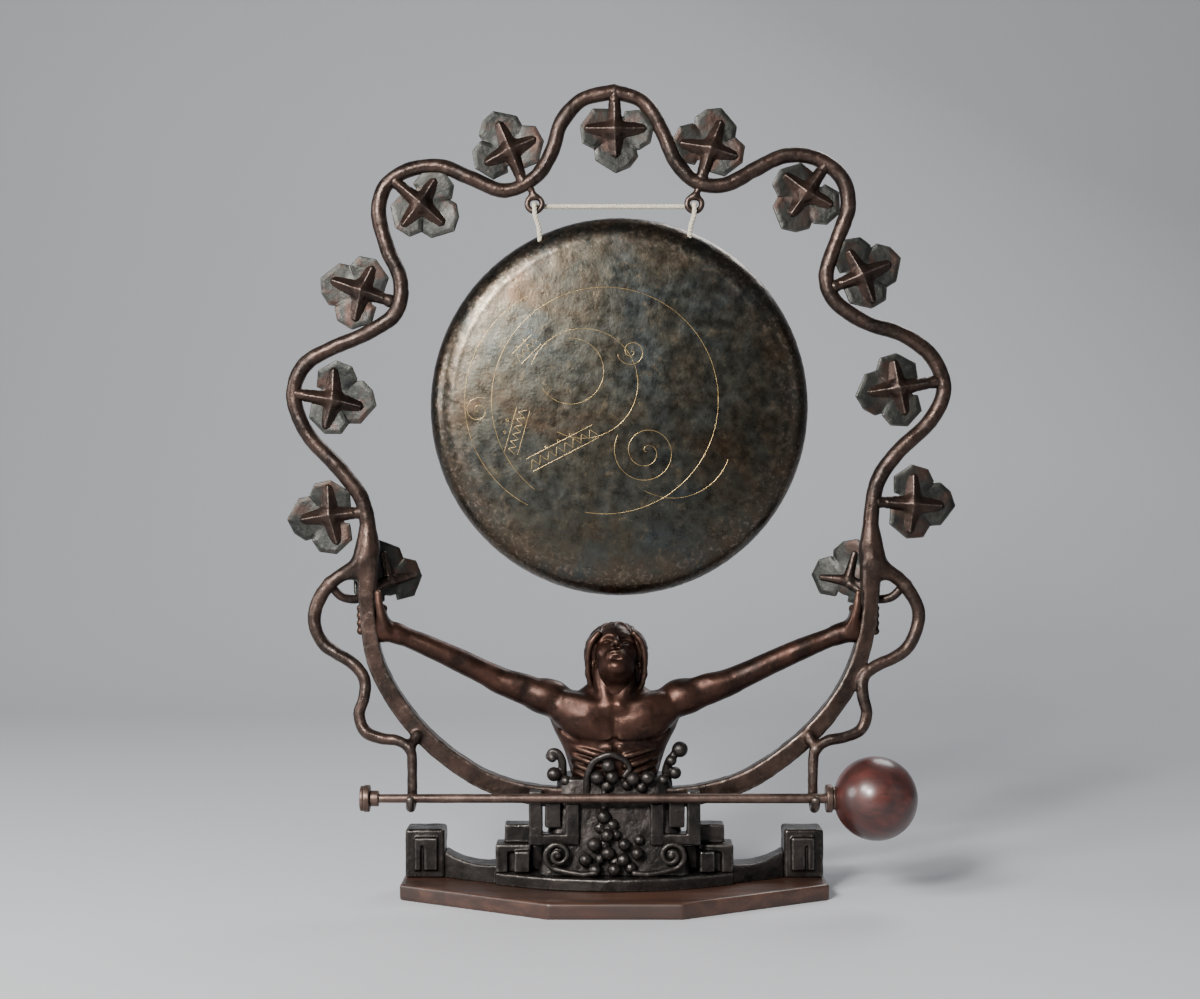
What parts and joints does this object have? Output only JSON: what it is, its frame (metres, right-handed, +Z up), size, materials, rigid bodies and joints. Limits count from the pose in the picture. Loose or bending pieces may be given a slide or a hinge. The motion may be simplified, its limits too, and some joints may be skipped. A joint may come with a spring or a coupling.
{
  "type": "table gong on stand",
  "caption": "Round hammered gong hung by a cord in a cast hoop of vine, held up by a half figure on a stepped base, with its beater resting in hooks",
  "frame": {"origin": "on the plinth's underside, straight below the middle of the hoop; the underside stands on the table", "axes": "+X across the gong to the beater's ball, +Y to the back, +Z up; the gong's face looks along -Y"},
  "size_m": [0.5525, 0.138, 0.6734],
  "materials": {
    "plinth_wood": "dark red-brown stained and waxed hardwood",
    "base_bronze": "dark grey-brown patinated cast bronze, rubbed on its edges",
    "figure_bronze": "warm red-brown patinated cast bronze, smooth",
    "vine_bronze": "brown-black patinated bronze with a hand-worked surface",
    "leaf_bronze": "green-grey patinated bronze sheet",
    "gong_bronze": "hammered gong bronze, mottled gunmetal and gold, dark at the rim",
    "rod_bronze": "brown patinated bronze",
    "beater_wood": "polished oxblood-stained hardwood",
    "cord": "twisted off-white cotton cord",
    "screw_brass": "plain brass wood screws"
  },
  "bodies": {
    "root": {"arch_scroll": "base_bronze", "arm_left": "figure_bronze", "arm_right": "figure_bronze", "base_screws": "screw_brass", "base_slab": "base_bronze", "cord_span": "cord", "end_block_left": "base_bronze", "end_block_right": "base_bronze", "eyelets": "vine_bronze", "figure_head": "figure_bronze", "figure_torso": "figure_bronze", "grape_cluster": "base_bronze", "hoop_bar_left": "vine_bronze", "hoop_bar_right": "vine_bronze", "leaf_plate_left_1": "leaf_bronze", "leaf_plate_left_2": "leaf_bronze", "leaf_plate_left_3": "leaf_bronze", "leaf_plate_left_4": "leaf_bronze", "leaf_plate_left_5": "leaf_bronze", "leaf_plate_rear_left": "leaf_bronze", "leaf_plate_rear_right": "leaf_bronze", "leaf_plate_right_1": "leaf_bronze", "leaf_plate_right_2": "leaf_bronze", "leaf_plate_right_3": "leaf_bronze", "leaf_plate_right_4": "leaf_bronze", "leaf_plate_right_5": "leaf_bronze", "leaf_plate_top": "leaf_bronze", "leaf_stem_left_1": "vine_bronze", "leaf_stem_left_2": "vine_bronze", "leaf_stem_left_3": "vine_bronze", "leaf_stem_left_4": "vine_bronze", "leaf_stem_left_5": "vine_bronze", "leaf_stem_rear_left": "vine_bronze", "leaf_stem_rear_right": "vine_bronze", "leaf_stem_right_1": "vine_bronze", "leaf_stem_right_2": "vine_bronze", "leaf_stem_right_3": "vine_bronze", "leaf_stem_right_4": "vine_bronze", "leaf_stem_right_5": "vine_bronze", "leaf_stem_top": "vine_bronze", "pedestal_core": "base_bronze", "plinth": "plinth_wood", "side_band_left": "base_bronze", "side_band_right": "base_bronze", "square_scroll_left": "base_bronze", "square_scroll_right": "base_bronze", "step_block_left": "base_bronze", "step_block_right": "base_bronze", "tendril_left": "vine_bronze", "tendril_right": "vine_bronze", "vine_left": "vine_bronze", "vine_right": "vine_bronze", "volutes": "base_bronze"},
    "gong_body": {"gong": "gong_bronze", "cord_drop_left": "cord", "cord_drop_right": "cord"},
    "beater": {"beater_rod": "rod_bronze", "beater_knob": "rod_bronze", "beater_ferrule": "rod_bronze", "beater_ball": "beater_wood"}
  },
  "joints": [
    {"name": "gong_swing", "type": "hinge", "parent": "root", "child": "gong_body", "pos_m": [0, -0.0048, 0.5646], "axis": [1, 0, 0], "range_deg": [-25, 25]},
    {"name": "beater_lift", "type": "slide", "parent": "root", "child": "beater", "axis": [0, -0.5, 0.866], "range_m": [0, 0.1]}
  ]
}
